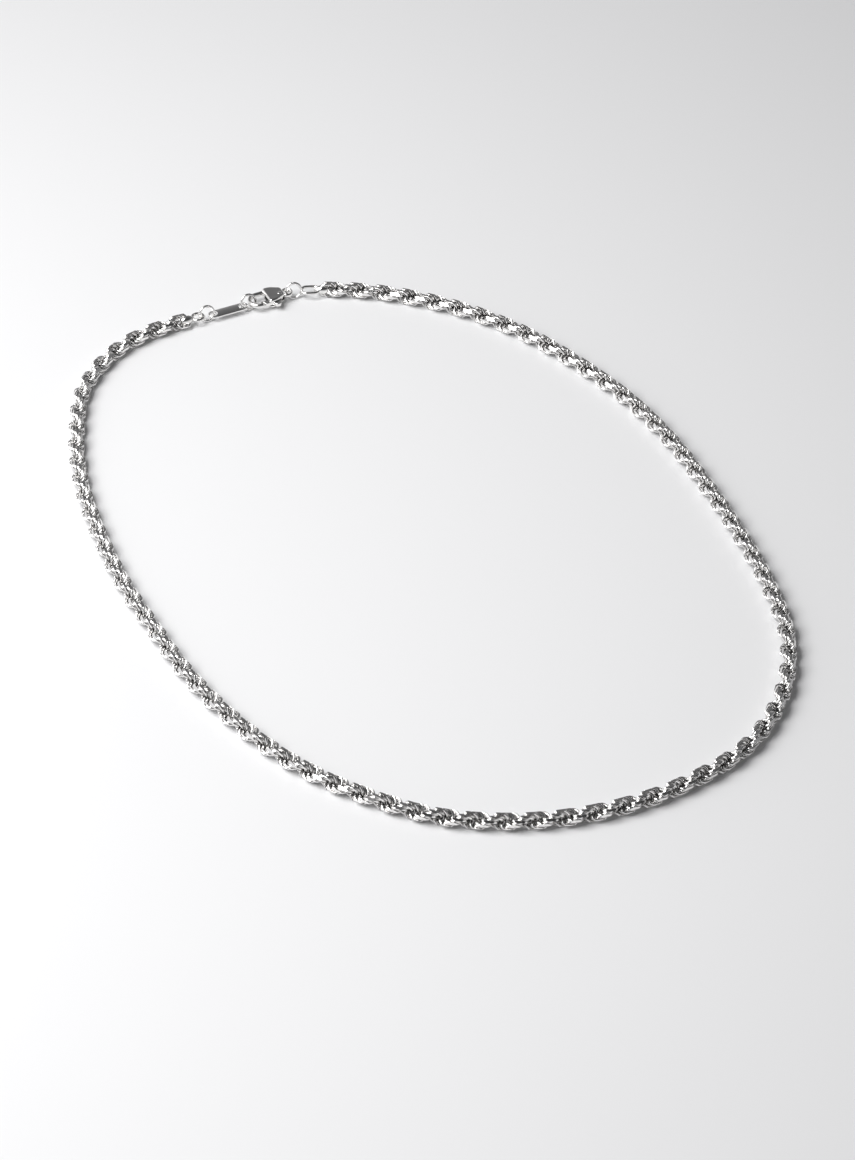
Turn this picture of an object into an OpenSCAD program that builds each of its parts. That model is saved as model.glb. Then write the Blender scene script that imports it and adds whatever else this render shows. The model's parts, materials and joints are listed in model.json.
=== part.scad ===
// Rope chain necklace lying in a loop, with a plain tag and a lobster clasp.
// Millimetres, +Z up, the surface that it lies on is Z = 0, origin under the middle of the loop.

/* [Rope] */
// Thickness of the rope, over its outermost links
rope_d = 3.4; // [2.8:0.1:4.2]
// Distance between two sections of the rope's tube, in thicknesses
section_pitch = 2; // [2:0.5:3]

/* [End links] */
// Thickness of an end link's wire
end_wire = 0.7; // [0.5:0.05:0.9]
// Width of an end link's hole
end_hole = 1.8; // [1.5:0.1:2.4]
// Straight stretch of the left end link
left_stretch = 0.1; // [0.1:0.1:1]
// Straight stretch of the right end link, which is a long oval
right_stretch = 1.6; // [0.8:0.1:2.4]

/* [Jump rings] */
// Thickness of a jump ring's wire
ring_wire = 0.6; // [0.5:0.05:0.8]
// Room inside a jump ring beyond half of what it holds
ring_play = 0.65; // [0.55:0.05:0.9]
// Angle that the jump rings lean away from upright
ring_lean = 20; // [0:5:25]

/* [Tag] */
// Length of the tag
tag_l = 9.6; // [8:0.2:14]
// Width of the tag
tag_w = 2.6; // [2.4:0.1:3.5]
// Thickness of the tag
tag_t = 0.6; // [0.4:0.1:0.8]
// Hole at each end of the tag
tag_hole = 1.6; // [1.5:0.05:1.8]
// Metal between a hole and the tag's end
tag_rim = 0.5; // [0.3:0.05:0.7]

/* [Clasp] */
// Length of the clasp, from the hook's nose to the eye's end
clasp_l = 11; // [10.5:0.25:14]
// Width of the clasp
clasp_w = 5.2; // [4.6:0.1:6]
// Thickness of the clasp's body
clasp_t = 2.4; // [2.1:0.1:3]
// Width of the hook, seen from above
hook_w = 1; // [0.8:0.1:1.2]
// Thickness of the hook, from underside to top
hook_t = 1.2; // [1.1:0.1:1.6]
// Straight length of the hook's tip
tip_l = 0.5; // [0.4:0.1:1]
// Width of the mouth, between the hook's tip and the body
mouth_w = 1.3; // [1.1:0.1:1.8]
// Hole of the clasp's eye
eye_hole = 1.6; // [1.4:0.1:2]
// Metal round the eye's hole
eye_wall = 0.7; // [0.6:0.05:0.8]
// Thickness of the eye
eye_t = 1; // [0.8:0.1:1.2]

/* [Lever] */
// Thickness of the lever
lever_t = 0.9; // [0.7:0.1:1]
// Length of the lip that closes behind the hook's tip
lip_l = 0.65; // [0.4:0.05:0.8]
// Width of the lip
lip_w = 0.35; // [0.25:0.05:0.5]
// How far the thumb nub stands out from the arm
nub_h = 1.1; // [0.6:0.1:1.6]
// Thickness of the rivet that the lever turns on
rivet_d = 0.7; // [0.5:0.05:0.8]

/* [Clearances] */
// Gap between two pieces of metal that lie against each other
seat_gap = 0.1; // [0.06:0.02:0.14]
// Gap on each side of the lever in its slot
slot_gap = 0.1; // [0.06:0.02:0.16]
// Gap round the rivet
rivet_gap = 0.04; // [0.02:0.01:0.08]

/* [Hidden] */

ring_fn = 48;
wire_fn = 48;
tube_sides = 8;

// Headings from +X, counter-clockwise: the tag and clasp, the last ring, the rope's right end
clasp_heading = 25;
ring_heading = 12;
right_heading = 4;

// Where the rope's left end lies
left_end = [-52, 74.5];

// The rope's route between its ends, from the right end round the front to the left end
rope_route = [
    [-8, 84], [8, 78.5], [22, 70], [34.5, 58.5], [45.5, 45.5],
    [54, 31.5], [61, 16], [67, 0.5], [72, -15.5], [75, -32],
    [73, -48.5], [65.5, -63.5], [53, -74.5], [38, -82], [21.5, -85.5],
    [4.5, -84.5], [-11, -78.5], [-25, -69.5], [-37, -57.5], [-47, -44],
    [-55, -29.5], [-62.5, -14.5], [-68.5, 1.5], [-73, 17.5], [-75, 34],
    [-74, 51], [-66, 65.5]
];

// A jump ring: radius of its wire's centre line, radius of its hole, height of its centre
ring_in = (tag_rim + hook_w) / 2 + ring_play;
ring_r = ring_in + ring_wire / 2;
ring_z = ring_r * cos(ring_lean) + ring_wire / 2;

// Heights of the rope's middle, the tag's and the clasp's
lift = 0.4;
rope_z = rope_d / 2;
tag_z = ring_wire + lift + tag_t / 2;
clasp_z = max(clasp_t / 2 + lift, ring_wire + lift + hook_t / 2);

// Half the length of a jump ring at a height: along its wire's centre line, and inside its hole
function ring_half(z) = sqrt(pow(ring_r, 2) - pow((ring_z - z) / cos(ring_lean), 2));
function ring_free(z) = sqrt(pow(ring_in, 2) - pow((ring_z - z) / cos(ring_lean), 2));

// Sideways place of what a leaning ring holds at a height
function side(z) = (z - rope_z) * tan(ring_lean);

// An end link: radius of its wire's centre line, its centre from the rope's end face
end_r = (end_hole + end_wire) / 2;
end_out = end_r + end_wire / 2 + 1.5 * seat_gap;
end_pull = end_hole / 2 - seat_gap - 0.55 * ring_wire;

// Places along the clasp's line, counted from the rope's left end
left_ring_s = end_out + left_stretch + end_pull + ring_half(rope_z);
tag_hole_s = left_ring_s + ring_half(tag_z);
tag_s = tag_hole_s - tag_hole / 2 - tag_rim;
tag_hole_gap = tag_l - tag_hole - 2 * tag_rim;
tag_ring_s = tag_hole_s + tag_hole_gap + ring_half(tag_z);
nose_s = tag_ring_s + ring_free(clasp_z - hook_t / 2) - 1.6 * seat_gap - hook_w;
eye_r = eye_hole / 2 + eye_wall;
eye_s = nose_s + clasp_l - eye_r;

// How far a cut reaches past what it cuts, and how far the hook's arm runs on into the body
past = 1;
arm_root = 0.5;

// The lever's hub: metal round the rivet, how far the rivet lies back, and the slot's room for it
hub_wall = 0.55;
hub_back = 0.3;
hub_room = 0.6;

// How much narrower the body's rear is than the eye, and how far the lever's arm is let in
rear_step = 0.2;
arm_inset = 0.2;

// Places on the clasp, counted from the hook's nose
bow_r = clasp_w / 2;
tip_end = bow_r + tip_l;
body_front = tip_end + mouth_w;
body_rear = clasp_l - 2 * eye_r + 0.8 * eye_wall;
body_bend = body_front + 0.4 * (body_rear - body_front);
rear_half = eye_r - rear_step;
hub_r = rivet_d / 2 + hub_wall;
pivot_p = clasp_l - 2 * eye_r - hub_r + hub_back;
pivot_q = -0.7;
slot_top = pivot_q + hub_r + hub_room;

// The lever, counted from its rivet: the reach of its front face, its arm's sides and its nub
tip_reach = norm([pivot_p - tip_end, pivot_q + bow_r - hook_w]);
arm_reach = tip_reach - 0.6 * seat_gap;
arm_out = pivot_q + bow_r - arm_inset;
arm_in = pivot_q + bow_r - hook_w - seat_gap;
nub_p = 1.3;
nub_w = 1.2;
nub_front = 0.3;
nub_rear = 0.4;
nub_slant = 0.1;

// Turns what is drawn along +X to a heading, from a place on the surface
module along(at, heading) {
    translate([at[0], at[1], 0]) rotate([0, 0, heading]) children();
}

function step_from(at, heading, ahead, left) = [
    at[0] + ahead * cos(heading) - left * sin(heading),
    at[1] + ahead * sin(heading) + left * cos(heading)
];

// Where the right ring passes through the eye and the right end link, and the rope's right end
eye_at = step_from(left_end, clasp_heading, eye_s, side(clasp_z));
right_ring_l = ring_half(clasp_z) + ring_half(rope_z);
right_link_at = step_from(eye_at, ring_heading, right_ring_l, -side(clasp_z));
right_end = step_from(right_link_at, right_heading, end_pull + right_stretch + end_out, 0);

// The rope's tube: a smooth curve through the route, cut at even steps
route = concat([right_end], rope_route, [left_end]);
lead_in = 16;
knots = concat(
    [step_from(route[1], right_heading, -2 * lead_in, 0)],
    route,
    [step_from(route[len(route) - 2], clasp_heading, 2 * lead_in, 0)]
);

function curve(a, b, c, d, t) = 0.5 * (2 * b + (c - a) * t
    + (2 * a - 5 * b + 4 * c - d) * t * t + (3 * b - a - 3 * c + d) * t * t * t);
function curve_dir(a, b, c, d, t) = 0.5 * ((c - a)
    + 2 * (2 * a - 5 * b + 4 * c - d) * t + 3 * (3 * b - a - 3 * c + d) * t * t);
function on_rope(u) = let (i = min(floor(u), len(route) - 2), t = u - i)
    curve(knots[i], knots[i + 1], knots[i + 2], knots[i + 3], t);
function rope_dir(u) = let (i = min(floor(u), len(route) - 2), t = u - i,
    d = curve_dir(knots[i], knots[i + 1], knots[i + 2], knots[i + 3], t)) d / norm(d);

function route_length(i) = i == 0 ? 0
    : route_length(i - 1) + norm(route[i] - route[i - 1]);
tube_rings = ceil(route_length(len(route) - 1) / (section_pitch * rope_d)) + 1;
tube_r = rope_d / 2 / cos(180 / tube_sides);

module half_link() {
    rotate([0, 0, 90])
        rotate_extrude(angle = 180, $fn = ring_fn)
            translate([end_r, 0]) circle(d = end_wire, $fn = wire_fn);
}

module end_link(stretch) {
    color([0.86, 0.86, 0.85]) {
        translate([end_out, 0, rope_z]) {
            half_link();
            translate([stretch, 0, 0]) rotate([0, 0, 180]) half_link();
            for (bar_y = [-end_r, end_r])
                translate([0, bar_y, 0]) rotate([0, 90, 0])
                    cylinder(d = end_wire, h = stretch, $fn = wire_fn);
        }
        translate([seat_gap / 2, 0, rope_z]) rotate([0, 90, 0])
            cylinder(d = 2 * end_wire, h = end_wire + seat_gap, $fn = ring_fn);
    }
}

module jump_ring(s) {
    color([0.88, 0.88, 0.87])
        translate([s, side(ring_z), ring_z]) rotate([90 - ring_lean, 0, 0])
            rotate_extrude($fn = ring_fn) translate([ring_r, 0]) circle(d = ring_wire, $fn = wire_fn);
}

module rope_chain() {
    points = [
        for (i = [0 : tube_rings - 1])
            let (u = i * (len(route) - 1) / (tube_rings - 1), at = on_rope(u), dir = rope_dir(u))
            for (k = [0 : tube_sides - 1])
                let (turn = (k + 0.5) * 360 / tube_sides)
                [
                    at[0] - dir[1] * tube_r * cos(turn),
                    at[1] + dir[0] * tube_r * cos(turn),
                    rope_z + tube_r * sin(turn)
                ]
    ];
    walls = [
        for (i = [0 : tube_rings - 2], k = [0 : tube_sides - 1])
            let (a = i * tube_sides + k, b = i * tube_sides + (k + 1) % tube_sides)
            [a, a + tube_sides, b + tube_sides, b]
    ];
    first_end = [for (k = [0 : tube_sides - 1]) k];
    last_end = [for (k = [tube_sides - 1 : -1 : 0]) (tube_rings - 1) * tube_sides + k];
    color([0.8, 0.8, 0.79])
        polyhedron(points, concat(walls, [first_end, last_end]), convexity = 10);
}

module end_link_left() {
    along(left_end, clasp_heading) end_link(left_stretch);
}

module jump_ring_left() {
    along(left_end, clasp_heading) jump_ring(left_ring_s);
}

module tag() {
    round_r = tag_w / 2;
    hole_far = tag_hole_s + tag_hole_gap;
    color([0.84, 0.84, 0.83])
        along(left_end, clasp_heading) translate([0, side(tag_z), tag_z - tag_t / 2])
            linear_extrude(tag_t) difference() {
                intersection() {
                    translate([tag_s, -tag_w / 2]) square([tag_l, tag_w]);
                    union() {
                        translate([tag_s + round_r, 0]) circle(r = round_r, $fn = ring_fn);
                        translate([tag_s + round_r, -tag_w / 2]) square([tag_l - 2 * round_r, tag_w]);
                        translate([tag_s + tag_l - round_r, 0]) circle(r = round_r, $fn = ring_fn);
                    }
                }
                translate([tag_hole_s, 0]) circle(d = tag_hole, $fn = ring_fn);
                translate([hole_far, 0]) circle(d = tag_hole, $fn = ring_fn);
            }
}

module jump_ring_tag() {
    along(left_end, clasp_heading) jump_ring(tag_ring_s);
}

module on_clasp() {
    along(left_end, clasp_heading) translate([nose_s, side(clasp_z), clasp_z]) children();
}

module slab(t) {
    translate([0, 0, -t / 2]) linear_extrude(t) children();
}

module hook_outline() {
    inner_r = bow_r - hook_w;
    difference() {
        translate([bow_r, 0]) circle(r = bow_r, $fn = 64);
        translate([bow_r, 0]) circle(r = inner_r, $fn = 64);
        translate([bow_r, -bow_r - past]) square([bow_r + past, 2 * (bow_r + past)]);
    }
    translate([bow_r, -bow_r]) square([tip_l, hook_w]);
    translate([bow_r, inner_r]) square([body_front - bow_r + arm_root, hook_w]);
}

module body_outline() {
    polygon([
        [body_front, -bow_r], [body_bend, -bow_r], [body_rear, -rear_half],
        [body_rear, rear_half], [body_bend, bow_r], [body_front, bow_r]
    ]);
}

module clasp_body() {
    slot_rear = pivot_p + hub_r + slot_gap;
    color([0.62, 0.62, 0.62]) on_clasp() difference() {
        union() {
            slab(hook_t) hook_outline();
            slab(clasp_t) body_outline();
            slab(eye_t) translate([clasp_l - eye_r, 0]) circle(r = eye_r, $fn = ring_fn);
        }
        slab(lever_t + 2 * slot_gap) translate([body_front - past, -bow_r - past])
            square([slot_rear - body_front + past, bow_r + past + slot_top]);
        slab(2 * clasp_t) translate([clasp_l - eye_r, 0]) circle(d = eye_hole, $fn = ring_fn);
        slab(2 * clasp_t) translate([pivot_p, pivot_q])
            circle(d = rivet_d + 2 * rivet_gap, $fn = ring_fn);
    }
}

module clasp_lever() {
    front_out = -sqrt(pow(arm_reach, 2) - pow(arm_out, 2));
    front_in = -sqrt(pow(arm_reach, 2) - pow(arm_in, 2));
    lip_end = front_in - lip_l;
    color([0.7, 0.7, 0.7]) on_clasp() translate([pivot_p, pivot_q, 0]) difference() {
        slab(lever_t) {
            circle(r = hub_r, $fn = ring_fn);
            polygon([
                [lip_end, -arm_in], [front_in, -arm_in], [front_out, -arm_out],
                [-nub_p - nub_w / 2 - nub_front, -arm_out], [-nub_p - nub_w / 2, -arm_out - nub_h],
                [-nub_p + nub_w / 2, -arm_out - nub_h - nub_slant],
                [-nub_p + nub_w / 2 + nub_rear, -arm_out],
                [0.5 * hub_r, -0.85 * hub_r], [-0.3 * hub_r, 0.95 * hub_r],
                [-1.6 * hub_r, lip_w - arm_in], [lip_end, lip_w - arm_in]
            ]);
        }
        slab(2 * lever_t) circle(d = rivet_d + 2 * rivet_gap, $fn = ring_fn);
    }
}

module clasp_rivet() {
    color([0.85, 0.85, 0.84]) on_clasp() translate([pivot_p, pivot_q, -clasp_t / 2])
        cylinder(d = rivet_d, h = clasp_t, $fn = ring_fn);
}

module jump_ring_right() {
    along(step_from(eye_at, ring_heading, 0, -side(clasp_z)), ring_heading)
        jump_ring(ring_half(clasp_z));
}

module end_link_right() {
    along(right_end, right_heading + 180) end_link(right_stretch);
}

rope_chain();
end_link_left();
jump_ring_left();
tag();
jump_ring_tag();
clasp_body();
clasp_lever();
clasp_rivet();
jump_ring_right();
end_link_right();
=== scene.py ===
import json
import random
from math import cos, pi, radians, sin, sqrt

import bmesh
import bpy
from mathutils import Matrix, Vector


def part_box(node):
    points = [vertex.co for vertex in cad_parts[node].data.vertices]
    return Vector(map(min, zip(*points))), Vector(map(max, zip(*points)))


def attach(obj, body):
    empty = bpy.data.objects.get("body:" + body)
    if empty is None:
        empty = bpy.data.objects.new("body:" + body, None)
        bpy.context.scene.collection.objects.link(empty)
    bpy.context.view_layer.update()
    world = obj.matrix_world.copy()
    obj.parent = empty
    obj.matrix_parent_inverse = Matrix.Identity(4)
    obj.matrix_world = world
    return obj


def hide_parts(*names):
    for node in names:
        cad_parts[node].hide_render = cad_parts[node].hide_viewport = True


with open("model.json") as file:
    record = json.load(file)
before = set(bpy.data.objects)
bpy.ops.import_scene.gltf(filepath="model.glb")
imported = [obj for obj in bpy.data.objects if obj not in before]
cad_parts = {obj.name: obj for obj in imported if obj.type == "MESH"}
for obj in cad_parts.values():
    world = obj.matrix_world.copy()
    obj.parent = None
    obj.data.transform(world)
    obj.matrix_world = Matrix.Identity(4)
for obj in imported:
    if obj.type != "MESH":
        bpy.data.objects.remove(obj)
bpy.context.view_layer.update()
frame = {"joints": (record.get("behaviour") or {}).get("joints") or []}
scene = bpy.context.scene

# Camera: a long lens a little under a metre from the table, looking down at the loop from its
# front, so that the clasp lies at the back and the rope's front curve fills the lower half.
mm = 0.001
picture_w, picture_h = 855, 1160
focal_px = 4000
camera_dip = radians(41.3)
camera_place = Vector((1.28, -640.19, 551.44)) * mm
sensor_mm = 36.0

camera_data = bpy.data.cameras.new("camera")
camera_data.sensor_fit = "AUTO"
camera_data.sensor_width = sensor_mm
camera_data.lens = focal_px * sensor_mm / max(picture_w, picture_h)
camera_data.clip_start = 10 * mm
camera = bpy.data.objects.new("camera", camera_data)
camera.location = camera_place
camera.rotation_euler = (pi / 2 - camera_dip, 0, 0)
scene.collection.objects.link(camera)
scene.camera = camera

# The rope: some nine hundred links of round silver wire, each threaded through the few before
# it, so that two ridges wind round the rope. They are soldered, and a diamond tool then cuts
# eight flats along the rope, which leave a bright facet on every link.
rope_d = 3.4 * mm
rope_z = rope_d / 2
flats = 8
wire_d = 0.55 * mm
link_r = 1.6 * mm
link_opening = radians(48)
link_opening_at = radians(102)
# How far a link stands out from the rope's middle line, how it leans, and how loosely it lies
link_out = 0.2 * mm
link_tilt = radians(6.1)
link_play = radians(1.3)
# A lobe is what shows of one of the two ridges on its way over the top. Each link is turned by
# half a turn and a little more from the one before, and none lies exactly square to the flats.
lobe_l = 5.94 * mm
links_per_lobe = 11
link_step = lobe_l / links_per_lobe
link_turn = pi + pi / links_per_lobe
first_turn = radians(1.5)
# A link's inner side is hidden in the rope, and is made in fewer steps than its outer side
wire_sides = 6
wire_swell = 1.08
inner_arc = radians(132)
inner_steps = 4
outer_steps = 9

# Places along the rope, in millimetres, from its right end round the front to its left end
right_end = Vector((-23.578, 85.409))
left_end = Vector((-52, 74.5))
rope_route = [
    (-8, 84), (8, 78.5), (22, 70), (34.5, 58.5), (45.5, 45.5),
    (54, 31.5), (61, 16), (67, 0.5), (72, -15.5), (75, -32),
    (73, -48.5), (65.5, -63.5), (53, -74.5), (38, -82), (21.5, -85.5),
    (4.5, -84.5), (-11, -78.5), (-25, -69.5), (-37, -57.5), (-47, -44),
    (-55, -29.5), (-62.5, -14.5), (-68.5, 1.5), (-73, 17.5), (-75, 34),
    (-74, 51), (-66, 65.5),
]
# The directions that it lies in at its two ends, and how strongly it holds to them
right_heading = radians(4)
clasp_heading = radians(25)
lead_in = 16
random.seed(7)


def heading_step(heading, ahead):
    return Vector((ahead * cos(heading), ahead * sin(heading)))


def smooth_point(a, b, c, d, t):
    return 0.5 * (2 * b + (c - a) * t + (2 * a - 5 * b + 4 * c - d) * t ** 2
                  + (3 * b - a - 3 * c + d) * t ** 3)


def rope_line(samples_per_span=60):
    """Points close together on the rope's middle line, and the length of rope up to each."""
    route = [right_end] + [Vector(p) for p in rope_route] + [left_end]
    knots = [route[1] + heading_step(right_heading, -2 * lead_in)] + route
    knots.append(route[-2] + heading_step(clasp_heading, 2 * lead_in))
    points = []
    for span in range(len(route) - 1):
        for i in range(samples_per_span):
            points.append(smooth_point(*knots[span:span + 4], i / samples_per_span))
    points.append(left_end)
    points = [(p * mm).to_3d() + Vector((0, 0, rope_z)) for p in points]
    lengths = [0.0]
    for a, b in zip(points, points[1:]):
        lengths.append(lengths[-1] + (b - a).length)
    return points, lengths


def along_rope(points, lengths, distances):
    """For each distance along the rope: a matrix whose Z runs along it and whose X points down."""
    i = 0
    for distance in distances:
        while i < len(points) - 2 and lengths[i + 1] < distance:
            i += 1
        share = (distance - lengths[i]) / (lengths[i + 1] - lengths[i])
        at = points[i].lerp(points[i + 1], share)
        ahead = (points[min(i + 2, len(points) - 1)] - points[max(i - 1, 0)]).normalized()
        down = Vector((0, 0, -1))
        side = ahead.cross(down)
        turn = Matrix((down, side, ahead)).transposed().to_4x4()
        yield Matrix.Translation(at) @ turn


def add_piece(bm, name, finish, body, stands_for):
    """Makes a mesh object of what was modelled, smooth but for its marked edges, and rides it."""
    mesh = bpy.data.meshes.new(name)
    bm.to_mesh(mesh)
    bm.free()
    for face in mesh.polygons:
        face.use_smooth = True
    mesh.materials.append(finish)
    piece = bpy.data.objects.new(name, mesh)
    scene.collection.objects.link(piece)
    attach(piece, body)
    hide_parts(stands_for)
    return piece


# Dull patches about 4 mm across and fine scratches a fifth of a millimetre apart
patch_scale, patch_detail, patch_shade = 260, 4, 0.9
patch_from, patch_to = 0.35, 0.6
dulled, dulled_from, dulled_to = 0.08, 0.3, 0.7
scratch_scale, scratch_detail = 5200, 3
scratch_depth = 0.01 * mm


def polished_silver(name, tone, shine, scratch):
    """Silver: a little darker and duller in patches, with fine scratches where it is handled."""
    material = bpy.data.materials.new(name)
    material.use_nodes = True
    nodes, links = material.node_tree.nodes, material.node_tree.links
    shader = nodes["Principled BSDF"]
    shader.inputs["Metallic"].default_value = 1.0
    place = nodes.new("ShaderNodeTexCoord")
    cloud = nodes.new("ShaderNodeTexNoise")
    cloud.inputs["Scale"].default_value = patch_scale
    cloud.inputs["Detail"].default_value = patch_detail
    links.new(place.outputs["Object"], cloud.inputs["Vector"])
    patches = nodes.new("ShaderNodeValToRGB")
    patches.color_ramp.elements[0].position = patch_from
    patches.color_ramp.elements[0].color = (*[c * patch_shade for c in tone], 1)
    patches.color_ramp.elements[1].position = patch_to
    patches.color_ramp.elements[1].color = (*tone, 1)
    links.new(cloud.outputs["Fac"], patches.inputs["Fac"])
    links.new(patches.outputs["Color"], shader.inputs["Base Color"])
    dull = nodes.new("ShaderNodeMapRange")
    dull.inputs["From Min"].default_value = dulled_from
    dull.inputs["From Max"].default_value = dulled_to
    dull.inputs["To Min"].default_value = shine + dulled
    dull.inputs["To Max"].default_value = shine
    links.new(cloud.outputs["Fac"], dull.inputs["Value"])
    links.new(dull.outputs["Result"], shader.inputs["Roughness"])
    grain = nodes.new("ShaderNodeTexNoise")
    grain.inputs["Scale"].default_value = scratch_scale
    grain.inputs["Detail"].default_value = scratch_detail
    links.new(place.outputs["Object"], grain.inputs["Vector"])
    marks = nodes.new("ShaderNodeBump")
    marks.inputs["Strength"].default_value = scratch
    marks.inputs["Distance"].default_value = scratch_depth
    links.new(grain.outputs["Fac"], marks.inputs["Height"])
    links.new(marks.outputs["Normal"], shader.inputs["Normal"])
    return material


# The grooves' painted shade: its darkness, and the shares of the rope's radius from where to where
painted_groove_shade = 0.75
groove_from, groove_to = 0.42, 0.78


def paint_groove_shade(material):
    """Paints shade into the rope's grooves: the silver is darker the nearer it lies to the middle.
    """
    nodes, links = material.node_tree.nodes, material.node_tree.links
    shader = nodes["Principled BSDF"]
    silver = shader.inputs["Base Color"].links[0].from_socket
    reach = nodes.new("ShaderNodeAttribute")
    reach.attribute_name = "reach"
    painted_shade_ramp = nodes.new("ShaderNodeValToRGB")
    painted_shade_ramp.color_ramp.elements[0].position = groove_from
    painted_shade_ramp.color_ramp.elements[0].color = (painted_groove_shade, painted_groove_shade, painted_groove_shade, 1)
    painted_shade_ramp.color_ramp.elements[1].position = groove_to
    painted_shade_ramp.color_ramp.elements[1].color = (1, 1, 1, 1)
    links.new(reach.outputs["Fac"], painted_shade_ramp.inputs["Fac"])
    darker = nodes.new("ShaderNodeMixRGB")
    darker.blend_type = "MULTIPLY"
    darker.inputs["Fac"].default_value = 1
    links.new(silver, darker.inputs["Color1"])
    links.new(painted_shade_ramp.outputs["Color"], darker.inputs["Color2"])
    links.new(darker.outputs["Color"], shader.inputs["Base Color"])


def cut_link(turn_of_flats):
    """One link, lying with its outer side on +X and the rope along Z, cut by the rope's flats."""
    bm = bmesh.new()
    # Six sides show as thinner than the round wire, so they stand a little further out
    bmesh.ops.create_circle(bm, segments=wire_sides, radius=wire_d / 2 * wire_swell)
    stand = Matrix.Translation((link_r, 0, 0)) @ Matrix.Rotation(pi / 2, 4, "X")
    bmesh.ops.transform(bm, matrix=stand, verts=bm.verts)
    first = link_opening_at + link_opening / 2
    bmesh.ops.rotate(bm, cent=(0, 0, 0), matrix=Matrix.Rotation(first, 3, "Z"), verts=bm.verts)
    section = bm.edges[:]
    for arc, steps in ((inner_arc, inner_steps), (2 * pi - link_opening - inner_arc, outer_steps)):
        last = bmesh.ops.spin(bm, geom=section, cent=(0, 0, 0), axis=(0, 0, 1), angle=arc,
                              steps=steps)["geom_last"]
        section = [e for e in last if isinstance(e, bmesh.types.BMEdge)]
    bmesh.ops.holes_fill(bm, edges=bm.edges, sides=wire_sides)
    bmesh.ops.recalc_face_normals(bm, faces=bm.faces)
    # The ring's own Y turns to run along the rope, leaning by the tilt
    bmesh.ops.rotate(bm, cent=(0, 0, 0), matrix=Matrix.Rotation(pi / 2 + link_tilt, 3, "X"),
                     verts=bm.verts)
    bmesh.ops.translate(bm, vec=(link_out, 0, 0), verts=bm.verts)
    for i in range(flats):
        turn = turn_of_flats + 2 * pi * i / flats
        out = Vector((cos(turn), sin(turn), 0))
        cut = bmesh.ops.bisect_plane(bm, geom=bm.verts[:] + bm.edges[:] + bm.faces[:],
                                     plane_co=out * rope_d / 2, plane_no=out, clear_outer=True)
        rim = [e for e in cut["geom_cut"] if isinstance(e, bmesh.types.BMEdge)]
        if rim:
            bmesh.ops.holes_fill(bm, edges=rim, sides=0)
            for edge in rim:
                edge.smooth = False
    # How far out each point is, for the painted shade in the rope's grooves
    reach = bm.verts.layers.float.new("reach")
    for vert in bm.verts:
        vert[reach] = vert.co.xy.length / (rope_d / 2)
    return bm


rope_silver = polished_silver("rope_silver", (0.93, 0.92, 0.91), 0.07, 0.12)
# The rope's silver gets painted shade in its grooves, darker deeper in
paint_groove_shade(rope_silver)
points, lengths = rope_line()
first_link = link_r + wire_d / 2
links_in_rope = round((lengths[-1] - 2 * first_link) / link_step) + 1
even_step = (lengths[-1] - 2 * first_link) / (links_in_rope - 1)
places = [first_link + even_step * k for k in range(links_in_rope)]
# Mirrored, so that the ridges wind to the left
mirror = Matrix.Scale(-1, 4, (0, 1, 0))
turns = [first_turn + link_turn * k for k in range(links_in_rope)]
# After one lobe the links lie to the flats as before, so that a lobe's links serve all along
shapes = [cut_link(-turn) for turn in turns[:links_per_lobe]]
rope = bmesh.new()
rope.verts.layers.float.new("reach")
scratch_mesh = bpy.data.meshes.new("one_link")
for k, place in enumerate(along_rope(points, lengths, places)):
    link = shapes[k % links_per_lobe].copy()
    play = Matrix.Rotation(random.uniform(-link_play, link_play), 4, "Y")
    play @= Matrix.Rotation(random.uniform(-link_play, link_play), 4, "Z")
    bmesh.ops.transform(link, matrix=place @ mirror @ Matrix.Rotation(turns[k], 4, "Z") @ play,
                        verts=link.verts)
    bmesh.ops.reverse_faces(link, faces=link.faces)
    link.to_mesh(scratch_mesh)
    link.free()
    rope.from_mesh(scratch_mesh)
for shape in shapes:
    shape.free()
add_piece(rope, "rope_links", rope_silver, "necklace", "rope_chain")

# The end links: an oval of heavier silver wire at each end of the rope, held by a bead of solder
# that has run in between the rope's last links and fills its end. The right oval is the longer.
end_wire = 0.7 * mm
end_hole = 1.8 * mm
end_r = (end_hole + end_wire) / 2
end_out = 1.75 * mm
left_stretch = 0.1 * mm
right_stretch = 1.6 * mm
wire_round = 14
half_ring_steps = 18
bead_steps = 20
# Points nearer to each other than this become one
weld = 0.002 * mm

# The bead's outline, in millimetres: place along the rope from its end, and radius
solder_outline = [(-2.6, 0), (-2.5, 0.5), (-2.1, 0.85), (-1.5, 1.04), (-0.8, 1.06), (-0.3, 0.96),
                  (0.05, 0.82), (0.35, 0.66), (0.62, 0.5), (0.82, 0.33), (0.92, 0.16), (0.95, 0)]


def laid(at, heading, height=0.0):
    """Turns what lies along +X to a heading on the table, from a place given in millimetres."""
    return Matrix.Translation((at[0] * mm, at[1] * mm, height)) @ Matrix.Rotation(heading, 4, "Z")


def oval_link(stretch):
    """Two half rings, set apart by the stretch, and the two straight runs of wire between them."""
    bm = bmesh.new()
    for side in (1, -1):
        bmesh.ops.translate(bm, vec=(-stretch, 0, 0), verts=bm.verts)
        section = bmesh.ops.create_circle(bm, segments=wire_round, radius=end_wire / 2)["verts"]
        stand = Matrix.Translation((0, end_r, 0)) @ Matrix.Rotation(pi / 2, 4, "Y")
        bmesh.ops.transform(bm, matrix=stand, verts=section)
        rim = [edge for edge in bm.edges if edge.verts[0] in section]
        bmesh.ops.spin(bm, geom=rim, cent=(0, 0, 0), axis=(0, 0, 1), angle=side * pi,
                       steps=half_ring_steps)
    for side in (1, -1):
        facing = [e for e in bm.edges if e.is_boundary and side * e.verts[0].co.y > 0]
        bmesh.ops.bridge_loops(bm, edges=facing)
    bmesh.ops.translate(bm, vec=(end_out + stretch / 2, 0, 0), verts=bm.verts)
    return bm


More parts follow.
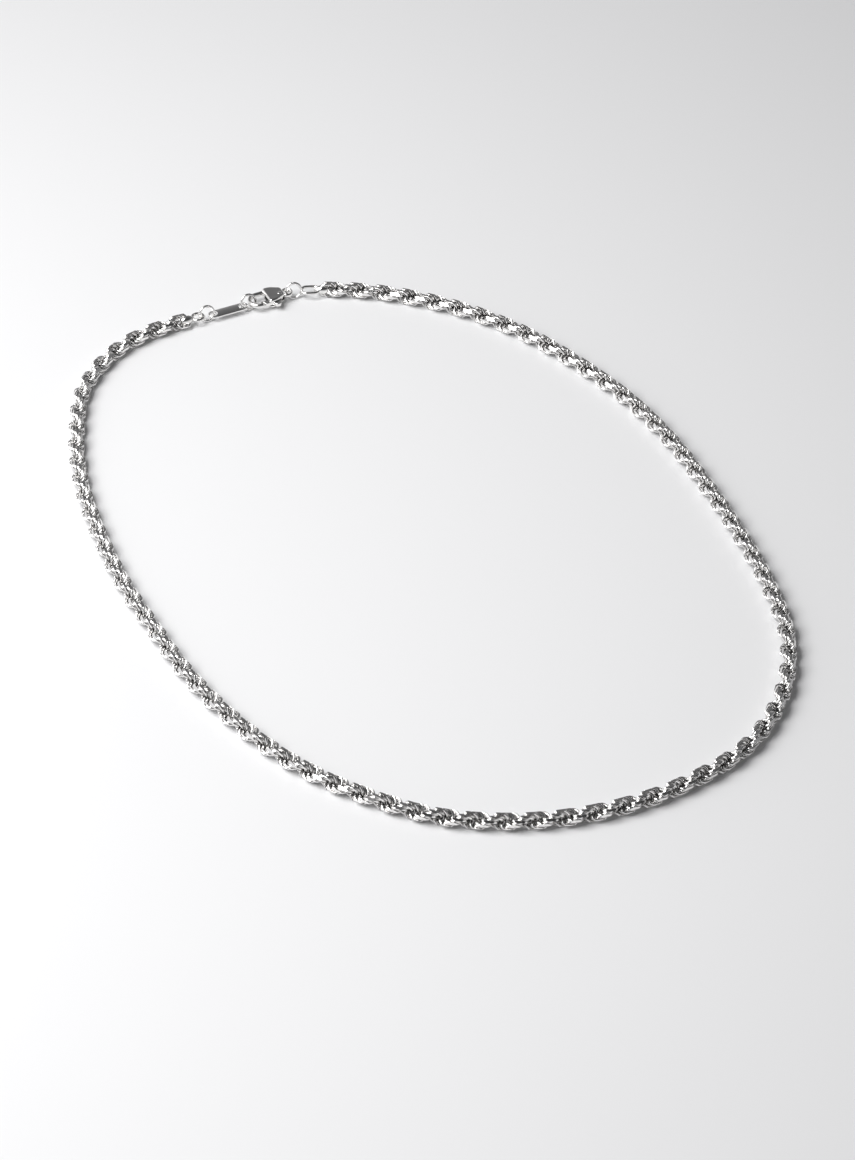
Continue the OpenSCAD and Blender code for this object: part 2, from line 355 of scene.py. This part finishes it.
def add_turned(bm, profile, steps, axis="X"):
    """Adds a shape turned on a lathe: a profile of places along the axis and radii round it."""
    along, out = {"X": (Vector((1, 0, 0)), Vector((0, 1, 0))),
                  "Z": (Vector((0, 0, 1)), Vector((1, 0, 0)))}[axis]
    ring = [bm.verts.new(along * a + out * r) for a, r in profile]
    edges = [bm.edges.new(pair) for pair in zip(ring, ring[1:])]
    bmesh.ops.spin(bm, geom=ring + edges, cent=(0, 0, 0), axis=along, angle=2 * pi, steps=steps,
                   use_merge=True)
    bmesh.ops.remove_doubles(bm, verts=bm.verts, dist=weld)


link_silver = polished_silver("link_silver", (0.91, 0.90, 0.885), 0.1, 0.2)
for name, at, heading, stretch in (
        ("end_link_left", left_end, clasp_heading, left_stretch),
        ("end_link_right", right_end, right_heading + pi, right_stretch)):
    bm = oval_link(stretch)
    bmesh.ops.transform(bm, matrix=laid(at, heading, rope_z), verts=bm.verts)
    bead = bmesh.new()
    add_turned(bead, [(a * mm, r * mm) for a, r in solder_outline], bead_steps)
    bmesh.ops.transform(bead, matrix=laid(at, heading, rope_z), verts=bead.verts)
    bead.to_mesh(scratch_mesh)
    bead.free()
    bm.from_mesh(scratch_mesh)
    bmesh.ops.recalc_face_normals(bm, faces=bm.faces)
    add_piece(bm, name + "_wire", link_silver, "necklace", name)
bpy.data.meshes.remove(scratch_mesh)

# The jump rings: round silver wire bent to a ring and closed end to end with pliers. Each leans
# a little, one joins the rope to the tag, one holds the hook, and one goes through the eye.
ring_wire = 0.6 * mm
ring_r = 1.7 * mm
ring_lean = radians(20)
ring_heading = radians(12)
ring_seam = radians(1.6)
seam_edge = 0.04 * mm
ring_steps = 48

ring_silver = polished_silver("ring_silver", (0.92, 0.91, 0.9), 0.08, 0.16)
for name, heading, seam_at in (("jump_ring_left", clasp_heading, radians(70)),
                               ("jump_ring_tag", clasp_heading, radians(118)),
                               ("jump_ring_right", ring_heading, radians(95))):
    bm = bmesh.new()
    bmesh.ops.create_circle(bm, segments=wire_round, radius=ring_wire / 2)
    stand = Matrix.Translation((ring_r, 0, 0)) @ Matrix.Rotation(pi / 2, 4, "X")
    bmesh.ops.transform(bm, matrix=stand, verts=bm.verts)
    bmesh.ops.spin(bm, geom=bm.edges[:], cent=(0, 0, 0), axis=(0, 0, 1),
                   angle=2 * pi - ring_seam, steps=ring_steps)
    ends = [edge for edge in bm.edges if edge.is_boundary]
    bmesh.ops.holes_fill(bm, edges=ends, sides=wire_round)
    bmesh.ops.recalc_face_normals(bm, faces=bm.faces)
    bmesh.ops.bevel(bm, geom=ends, offset=seam_edge, affect="EDGES", segments=2, profile=0.5,
                    material=-1)
    low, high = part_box(name)
    lean = Matrix.Rotation(pi / 2 - ring_lean, 4, "X") @ Matrix.Rotation(seam_at, 4, "Z")
    place = Matrix.Translation((Vector(low) + Vector(high)) / 2)
    bmesh.ops.transform(bm, matrix=place @ Matrix.Rotation(heading, 4, "Z") @ lean,
                        verts=bm.verts)
    add_piece(bm, name + "_wire", ring_silver, "necklace", name)

# The tag: a small bare plate of silver between two rings, stamped with round ends and a hole at
# each, slightly domed on top, with its edges tumbled smooth.
tag_l = 9.6 * mm
tag_w = 2.6 * mm
tag_t = 0.6 * mm
tag_hole = 1.6 * mm
tag_dome = 0.14 * mm
tag_edge = 0.13 * mm
tag_edge_steps = 3
quarter_steps = 8
cross_cuts = 4
hair = 0.001 * mm

bm = bmesh.new()
half = tag_w / 2
bmesh.ops.create_circle(bm, segments=4 * quarter_steps, radius=tag_hole / 2)
outer_rim = bmesh.ops.create_circle(bm, segments=4 * quarter_steps, radius=half)["verts"]
for vert in outer_rim:
    # The rim's inner half is squared, to run on into the middle of the tag
    if vert.co.x > 0:
        vert.co *= half / max(vert.co.x, abs(vert.co.y))
bmesh.ops.bridge_loops(bm, edges=bm.edges[:])
bmesh.ops.translate(bm, vec=(-tag_l / 2 + half, 0, 0), verts=bm.verts)
bmesh.ops.mirror(bm, geom=bm.verts[:] + bm.edges[:] + bm.faces[:], axis="X",
                 matrix=Matrix.Identity(4), merge_dist=0)
inner_x = tag_l / 2 - tag_w
facing = [e for e in bm.edges if all(abs(abs(v.co.x) - inner_x) < hair for v in e.verts)]
bmesh.ops.bridge_loops(bm, edges=facing)
spokes = [e for e in bm.edges if e.calc_length() > tag_w
          or not e.is_boundary and e not in facing]
bmesh.ops.subdivide_edges(bm, edges=spokes, cuts=cross_cuts, use_grid_fill=True)
# The slanting edges at the four corners go, so that the rim is rounded evenly past them
hole_x = tag_l / 2 - half
slanting = [e for e in bm.edges if all(abs(hole_x - abs(v.co.x) - abs(v.co.y)) < hair
                                       for v in e.verts)]
bmesh.ops.dissolve_edges(bm, edges=slanting)
bmesh.ops.translate(bm, vec=(0, 0, -tag_t / 2), verts=bm.verts)
plate = bmesh.ops.extrude_face_region(bm, geom=bm.faces[:])["geom"]
top = [v for v in plate if isinstance(v, bmesh.types.BMVert)]
bmesh.ops.translate(bm, vec=(0, 0, tag_t), verts=top)
bmesh.ops.recalc_face_normals(bm, faces=bm.faces)
for vert in top:
    vert.co.z -= tag_dome * (vert.co.y / half) ** 2
rims = [e for e in bm.edges if len(e.link_faces) == 2 and e.calc_face_angle() > radians(50)]
bmesh.ops.bevel(bm, geom=rims, offset=tag_edge, affect="EDGES", segments=tag_edge_steps,
                profile=0.5, material=-1)
low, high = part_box("tag")
place = Matrix.Translation((Vector(low) + Vector(high)) / 2)
bmesh.ops.transform(bm, matrix=place @ Matrix.Rotation(clasp_heading, 4, "Z"), verts=bm.verts)
tag_silver = polished_silver("tag_silver", (0.92, 0.91, 0.9), 0.1, 0.25)
tag = add_piece(bm, "tag_plate", tag_silver, "necklace", "tag")
tag.modifiers.new("even_shading", "WEIGHTED_NORMAL").keep_sharp = True

# The clasp's body: a lobster clasp cast in silver in one piece, a hook, a hollow body slotted
# for the lever, and an eye. Casting and tumbling have left no sharp edge on it.
clasp_l = 11 * mm
clasp_w = 5.2 * mm
clasp_t = 2.4 * mm
hook_w = 1.0 * mm
hook_t = 1.2 * mm
tip_l = 0.5 * mm
mouth_w = 1.3 * mm
eye_r = 1.5 * mm
eye_hole = 1.6 * mm
eye_t = 1.0 * mm
# Places on the clasp: p runs along it from the hook's bow, and q across it
pivot_p = 7.4 * mm
pivot_q = -0.7 * mm
lever_t = 0.9 * mm
slot_gap = 0.1 * mm
slot_top = 0.8 * mm
rivet_d = 0.7 * mm
rivet_gap = 0.04 * mm
hub_wall = 0.55 * mm
hub_r = rivet_d / 2 + hub_wall
rear_step = 0.2 * mm
body_corner, body_edge, body_edge_steps = 0.55 * mm, 0.5 * mm, 5
hook_round, hook_steps = 20, 24
hook_root = 0.9 * mm
# The dome at the hook's tip: how far on each step lies, and the share of the width it leaves
tip_dome = [(0.15 * mm, 0.93), (0.12 * mm, 0.8), (0.08 * mm, 0.45)]
eye_round, eye_steps = 12, 36
bore_round = 32
# In the casting, points nearer than this become one, and a blunter edge than this looks smooth
seam = 0.004 * mm
crease = radians(38)
bow_r = clasp_w / 2
eye_wall = eye_r - eye_hole / 2
body_front = bow_r + tip_l + mouth_w
body_rear = clasp_l - 2 * eye_r + 0.8 * eye_wall
body_bend = body_front + 0.4 * (body_rear - body_front)
pivot = Vector(frame["joints"][0]["pos_m"])
on_clasp = (Matrix.Translation(pivot) @ Matrix.Rotation(clasp_heading, 4, "Z")
            @ Matrix.Translation((-pivot_p, -pivot_q, 0)))


def rise(edge):
    return abs(edge.verts[0].co.z - edge.verts[1].co.z)


def flat_shape(outline, thickness, corner, corner_steps, edge, edge_steps):
    """A plate cut to an outline, with its corners rounded and then its upper and lower edges."""
    bm = bmesh.new()
    face = bm.faces.new([bm.verts.new((p, q, -thickness / 2)) for p, q in outline])
    grown = bmesh.ops.extrude_face_region(bm, geom=[face])["geom"]
    bmesh.ops.translate(bm, vec=(0, 0, thickness),
                        verts=[v for v in grown if isinstance(v, bmesh.types.BMVert)])
    bmesh.ops.recalc_face_normals(bm, faces=bm.faces)
    upright = [e for e in bm.edges if rise(e) > thickness / 2
               and e.calc_face_angle() > radians(20)]
    bmesh.ops.bevel(bm, geom=upright, offset=corner, affect="EDGES", segments=corner_steps,
                    profile=0.5, clamp_overlap=True, material=-1)
    level = [e for e in bm.edges if rise(e) < thickness / 2 and e.calc_face_angle() > radians(60)]
    bmesh.ops.bevel(bm, geom=level, offset=edge, affect="EDGES", segments=edge_steps,
                    profile=0.5, material=-1)
    return bm


def hook_bow():
    """The hook: an oval bar from its tip round the bow to well inside the body."""
    bm = bmesh.new()
    bmesh.ops.create_circle(bm, segments=hook_round, radius=0.5)
    across = bow_r - hook_w / 2
    stand = (Matrix.Translation((bow_r, -across, 0)) @ Matrix.Rotation(-pi / 2, 4, "Y")
             @ Matrix.Diagonal((hook_t, hook_w, 1, 1)))
    bmesh.ops.transform(bm, matrix=stand, verts=bm.verts)
    first = bm.edges[:]
    bmesh.ops.spin(bm, geom=first, cent=(bow_r, 0, 0), axis=(0, 0, -1), angle=pi,
                   steps=hook_steps)
    rear = [e for e in bm.edges if e.is_boundary and e.verts[0].co.y > 0]
    front = [e for e in bm.edges if e.is_boundary and e.verts[0].co.y < 0]
    grown = bmesh.ops.extrude_edge_only(bm, edges=rear)["geom"]
    bmesh.ops.translate(bm, vec=(body_front - bow_r + hook_root, 0, 0),
                        verts=[v for v in grown if isinstance(v, bmesh.types.BMVert)])
    # The tip runs on straight before its dome
    straight = tip_l - sum(ahead for ahead, _ in tip_dome)
    for ahead, scale in [(straight, 1)] + tip_dome:
        grown = bmesh.ops.extrude_edge_only(bm, edges=front)["geom"]
        verts = [v for v in grown if isinstance(v, bmesh.types.BMVert)]
        front = [e for e in grown if isinstance(e, bmesh.types.BMEdge)]
        middle = sum((v.co for v in verts), Vector()) / len(verts)
        bmesh.ops.scale(bm, vec=(1, scale, scale), verts=verts,
                        space=Matrix.Translation(-middle))
        bmesh.ops.translate(bm, vec=(ahead, 0, 0), verts=verts)
    bmesh.ops.holes_fill(bm, edges=bm.edges, sides=0)
    bmesh.ops.recalc_face_normals(bm, faces=bm.faces)
    return bm


def joined(first, others):
    """Joins solids to the first one, or cuts them out of it, and gives back one closed mesh."""
    made = []
    for bm in [first] + [bm for bm, _ in others]:
        mesh = bpy.data.meshes.new("solid")
        bm.to_mesh(mesh)
        bm.free()
        made.append(bpy.data.objects.new("solid", mesh))
        scene.collection.objects.link(made[-1])
    for tool, (_, operation) in zip(made[1:], others):
        step = made[0].modifiers.new(operation, "BOOLEAN")
        step.operation = operation
        step.solver = "EXACT"
        step.object = tool
    result = bmesh.new()
    result.from_object(made[0], bpy.context.evaluated_depsgraph_get())
    for solid in made:
        mesh = solid.data
        bpy.data.objects.remove(solid)
        bpy.data.meshes.remove(mesh)
    bmesh.ops.remove_doubles(result, verts=result.verts, dist=seam)
    bmesh.ops.dissolve_degenerate(result, edges=result.edges, dist=seam)
    loose = [edge for edge in result.edges if not edge.link_faces]
    bmesh.ops.delete(result, geom=loose, context="EDGES")
    return result


def cylinder_at(p, q, diameter, height):
    bm = bmesh.new()
    bmesh.ops.create_cone(bm, cap_ends=True, segments=bore_round, radius1=diameter / 2,
                          radius2=diameter / 2, depth=height)
    bmesh.ops.translate(bm, vec=(p, q, 0), verts=bm.verts)
    return bm


rear_half = eye_r - rear_step
body = flat_shape([(body_front, -bow_r), (body_bend, -bow_r), (body_rear, -rear_half),
                   (body_rear, rear_half), (body_bend, bow_r), (body_front, bow_r)],
                  clasp_t, body_corner, body_edge_steps, body_edge, body_edge_steps)
eye = bmesh.new()
bmesh.ops.create_circle(eye, segments=eye_round, radius=0.5)
bmesh.ops.transform(eye, verts=eye.verts, matrix=Matrix.Translation((eye_r - eye_wall / 2, 0, 0))
                    @ Matrix.Rotation(pi / 2, 4, "X") @ Matrix.Diagonal((eye_wall, eye_t, 1, 1)))
bmesh.ops.spin(eye, geom=eye.edges[:], cent=(0, 0, 0), axis=(0, 0, 1), angle=2 * pi,
               steps=eye_steps, use_merge=True)
bmesh.ops.recalc_face_normals(eye, faces=eye.faces)
bmesh.ops.translate(eye, vec=(clasp_l - eye_r, 0, 0), verts=eye.verts)
slot_rear = pivot_p + hub_r + slot_gap
past = 1 * mm
slot = bmesh.new()
bmesh.ops.create_cube(slot, size=1)
slot_size = (slot_rear - body_front + past, bow_r + past + slot_top, lever_t + 2 * slot_gap)
slot_middle = ((slot_rear + body_front - past) / 2, (slot_top - bow_r - past) / 2, 0)
bmesh.ops.transform(slot, verts=slot.verts,
                    matrix=Matrix.Translation(slot_middle) @ Matrix.Diagonal((*slot_size, 1)))
rivet_hole = cylinder_at(pivot_p, pivot_q, rivet_d + 2 * rivet_gap, 2 * clasp_t)
body = joined(body, [(hook_bow(), "UNION"), (eye, "UNION"), (slot, "DIFFERENCE"),
                     (rivet_hole, "DIFFERENCE")])
for edge in body.edges:
    edge.smooth = len(edge.link_faces) == 2 and edge.calc_face_angle() < crease
bmesh.ops.transform(body, matrix=on_clasp, verts=body.verts)
clasp_silver = polished_silver("clasp_silver", (0.91, 0.9, 0.885), 0.12, 0.3)
casting = add_piece(body, "clasp_casting", clasp_silver, "necklace", "clasp_body")
casting.modifiers.new("even_shading", "WEIGHTED_NORMAL").keep_sharp = True

# The lever: a flat piece of silver in the body's slot, turning on the rivet. Its lip closes
# behind the hook's tip, and the nub is where the thumb draws it back.
lip_l = 0.65 * mm
lip_w = 0.35 * mm
nub_p = 1.3 * mm
seat_gap = 0.1 * mm
arm_inset = 0.2 * mm
lever_corner, lever_edge, lever_edge_steps = 0.12 * mm, 0.14 * mm, 3
arm_out = pivot_q + bow_r - arm_inset
arm_in = pivot_q + bow_r - hook_w - seat_gap
tip_end = bow_r + tip_l
arm_reach = sqrt((pivot_p - tip_end) ** 2 + (pivot_q + bow_r - hook_w) ** 2) - 0.6 * seat_gap
front_out = -sqrt(arm_reach ** 2 - arm_out ** 2)
front_in = -sqrt(arm_reach ** 2 - arm_in ** 2)
lip_end = front_in - lip_l

# The nub's outline, in millimetres from its middle on the arm's outer side
nub_outline = [(-0.9, 0), (-0.68, -0.74), (-0.32, -1.1), (0.3, -1.18), (0.7, -0.86), (1, 0)]
nub = [(p * mm - nub_p, q * mm - arm_out) for p, q in nub_outline]
# The hub's free side, in steps of 10 degrees
hub = [(hub_r * cos(a), hub_r * sin(a)) for a in (radians(10 * i) for i in range(-7, 12))]
lip = [(lip_end, lip_w - arm_in), (lip_end, -arm_in)]
lever = flat_shape([(front_in, -arm_in), (front_out, -arm_out)] + nub + hub
                   + [(-1.6 * hub_r, lip_w - arm_in)] + lip,
                   lever_t, lever_corner, lever_edge_steps, lever_edge, lever_edge_steps)
bmesh.ops.transform(lever, matrix=on_clasp @ Matrix.Translation((pivot_p, pivot_q, 0)),
                    verts=lever.verts)
lever_silver = polished_silver("lever_silver", (0.9, 0.89, 0.875), 0.13, 0.3)
lever_piece = add_piece(lever, "clasp_thumb_lever", lever_silver, "lever", "clasp_lever")
lever_piece.modifiers.new("even_shading", "WEIGHTED_NORMAL").keep_sharp = True

# The rivet: a pin of silver wire through the body and the lever. Its ends are hammered to low
# domes, which hold it in the casting.
rivet_round = 28

# The head's outline, in millimetres: height over the body's face, and radius
head_outline = [(0.11, 0), (0.1023, 0.16), (0.077, 0.33), (0.033, 0.45), (0, 0.5), (-0.05, 0.47)]
rivet = bmesh.new()
head = [(clasp_t / 2 + z * mm, r * mm) for z, r in head_outline + [(-0.06, rivet_d / mm / 2)]]
add_turned(rivet, head + [(-z, r) for z, r in reversed(head)], rivet_round, "Z")
bmesh.ops.recalc_face_normals(rivet, faces=rivet.faces)
bmesh.ops.transform(rivet, matrix=Matrix.Translation(pivot), verts=rivet.verts)
add_piece(rivet, "clasp_rivet_pin", clasp_silver, "necklace", "clasp_rivet")

# The studio: a pale paper floor, a large window-like light at the left and a weak one overhead.
# The room that the polished silver reflects is pale near the table and dark above, with a bright
# wall at the left.
floor_reach = 4.0
paper_tone, paper_dullness = (0.86, 0.86, 0.865), 0.7

floor_mesh = bpy.data.meshes.new("floor")
bm = bmesh.new()
bmesh.ops.create_grid(bm, x_segments=1, y_segments=1, size=floor_reach)
bm.to_mesh(floor_mesh)
bm.free()
floor = bpy.data.objects.new("floor", floor_mesh)
scene.collection.objects.link(floor)
paper = bpy.data.materials.new("paper")
paper.use_nodes = True
paper_shader = paper.node_tree.nodes["Principled BSDF"]
paper_shader.inputs["Base Color"].default_value = (*paper_tone, 1)
paper_shader.inputs["Roughness"].default_value = paper_dullness
floor_mesh.materials.append(paper)


def softbox(name, bearing, height, distance, size, power):
    """A rectangular light, placed by its bearing from +X and its height above the table."""
    data = bpy.data.lights.new(name, "AREA")
    data.shape = "RECTANGLE"
    data.size, data.size_y = size
    data.energy = power
    light = bpy.data.objects.new(name, data)
    light.location = Vector((cos(bearing) * cos(height), sin(bearing) * cos(height),
                             sin(height))) * distance
    light.rotation_euler = (-light.location).to_track_quat("-Z", "Y").to_euler()
    light.visible_camera = False
    scene.collection.objects.link(light)


softbox("window", radians(192), radians(54), 0.6, (0.5, 0.42), 3.95)
softbox("overhead", radians(150), radians(65), 0.5, (0.25, 0.25), 0.25)

world = bpy.data.worlds.new("room")
scene.world = world
world.use_nodes = True
world_nodes, world_links = world.node_tree.nodes, world.node_tree.links
look = world_nodes.new("ShaderNodeTexCoord")
split = world_nodes.new("ShaderNodeSeparateXYZ")
world_links.new(look.outputs["Generated"], split.inputs["Vector"])


def wall_shades(stops):
    """A wall of the room, up to the ceiling: how bright it is at each height looked at."""
    height = world_nodes.new("ShaderNodeMapRange")
    height.inputs["From Min"].default_value = -1
    world_links.new(split.outputs["Z"], height.inputs["Value"])
    ramp = world_nodes.new("ShaderNodeValToRGB")
    for _ in stops[2:]:
        ramp.color_ramp.elements.new(0.5)
    for element, (position, shade) in zip(ramp.color_ramp.elements, stops):
        element.position = (position + 1) / 2
        element.color = (shade, shade, shade * 1.02, 1)
    world_links.new(height.outputs["Result"], ramp.inputs["Fac"])
    return ramp


near_wall = wall_shades([(0, 0.62), (0.12, 0.55), (0.3, 0.3), (0.5, 0.07), (0.8, 0.05), (1, 0.08)])
far_wall = wall_shades([(0, 0.4), (0.2, 0.34), (0.42, 0.22), (0.58, 0.16), (0.78, 0.12), (1, 0.09)])
left_wall = wall_shades([(0, 0.7), (0.2, 0.85), (0.5, 0.85), (0.7, 0.4), (0.85, 0.1), (1, 0.08)])


def blended(first, second, axis, start, end):
    """Goes from one part of the room to another along an axis of the direction looked in."""
    share = world_nodes.new("ShaderNodeMapRange")
    share.inputs["From Min"].default_value = start
    share.inputs["From Max"].default_value = end
    world_links.new(split.outputs[axis], share.inputs["Value"])
    mix = world_nodes.new("ShaderNodeMixRGB")
    world_links.new(share.outputs["Result"], mix.inputs["Fac"])
    world_links.new(first.outputs["Color"], mix.inputs["Color1"])
    world_links.new(second.outputs["Color"], mix.inputs["Color2"])
    return mix


front_and_back = blended(near_wall, far_wall, "Y", -0.3, 0.5)
room = blended(front_and_back, left_wall, "X", -0.45, -0.85)
world_links.new(room.outputs["Color"], world_nodes["Background"].inputs["Color"])
scene.view_settings.view_transform = "Standard"
